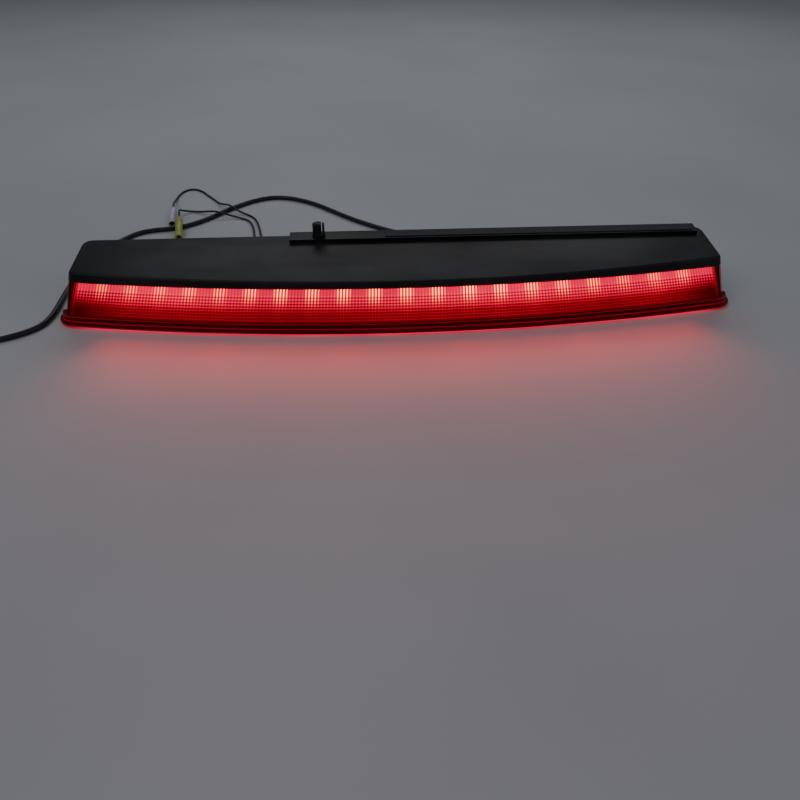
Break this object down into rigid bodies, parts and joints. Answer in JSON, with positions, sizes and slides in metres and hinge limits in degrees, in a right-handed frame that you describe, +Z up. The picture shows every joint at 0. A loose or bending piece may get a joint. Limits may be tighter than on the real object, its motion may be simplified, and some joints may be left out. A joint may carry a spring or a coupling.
{
  "type": "third brake light",
  "caption": "Curved high-level brake light with a red lens, fluted optic, lit LED row, black housing, wired pigtail and supply lead.",
  "frame": {"origin": "middle of the flat base, halfway along the lamp and halfway from the lens flange to the rear wall", "axes": "+X along the lamp, -Y the way the lens faces, +Z up from the base"},
  "size_m": [0.6582, 0.3547, 0.0618],
  "materials": {
    "housing_plastic": "fine moulded texture",
    "seal_rubber": "matt",
    "foam_strip": "closed-cell foam",
    "steel": "zinc plated",
    "lens_red": "polished, transparent",
    "optic_clear": "fluted and ribbed",
    "reflector_metal": "vacuum metallised",
    "board_white": "white solder mask",
    "led_emitter": "clear epoxy, lit",
    "resistor_black": "chip",
    "copper_tin": "tinned",
    "wire_jacket": "PVC, semi-gloss",
    "brass": "stamped",
    "sleeve_pale": "soft PVC",
    "sleeve_yellow": "soft PVC",
    "lead_jacket": "PVC jacket"
  },
  "bodies": {
    "lamp": {"housing": "housing_plastic", "base_plate": "housing_plastic", "base_gasket": "seal_rubber", "base_screws": "steel", "outer_lens": "lens_red", "lens_seal": "seal_rubber", "inner_optic": "optic_clear", "reflector": "reflector_metal", "reflector_screws": "steel", "led_board_1": "board_white", "led_board_2": "board_white", "led_board_3": "board_white", "led_board_4": "board_white", "leds_1": "led_emitter", "leds_2": "led_emitter", "leds_3": "led_emitter", "leds_4": "led_emitter", "resistors_1": "resistor_black", "resistors_2": "resistor_black", "resistors_3": "resistor_black", "resistors_4": "resistor_black", "board_links": "copper_tin", "board_screws": "steel", "ridge_strip": "foam_strip", "locating_peg": "housing_plastic", "stud_left": "steel", "stud_right": "steel", "stud_washers": "seal_rubber", "vent_plug": "housing_plastic", "wire_grommet": "seal_rubber", "inner_wires": "wire_jacket", "wire_a": "wire_jacket", "wire_b": "wire_jacket", "terminal_a": "brass", "terminal_b": "brass", "lead_relief": "seal_rubber", "supply_lead": "lead_jacket", "lead_plug": "housing_plastic", "plug_pins": "brass"},
    "sleeve_a": {"sleeve_a": "sleeve_pale"},
    "sleeve_b": {"sleeve_b": "sleeve_yellow"}
  },
  "joints": [
    {"name": "sleeve_a_slide", "type": "slide", "parent": "lamp", "child": "sleeve_a", "axis": [-0.139, 0.9889, 0.0523], "range_m": [0, 0.008]},
    {"name": "sleeve_b_slide", "type": "slide", "parent": "lamp", "child": "sleeve_b", "axis": [-0.1377, 0.9799, 0.1444], "range_m": [0, 0.008]}
  ]
}
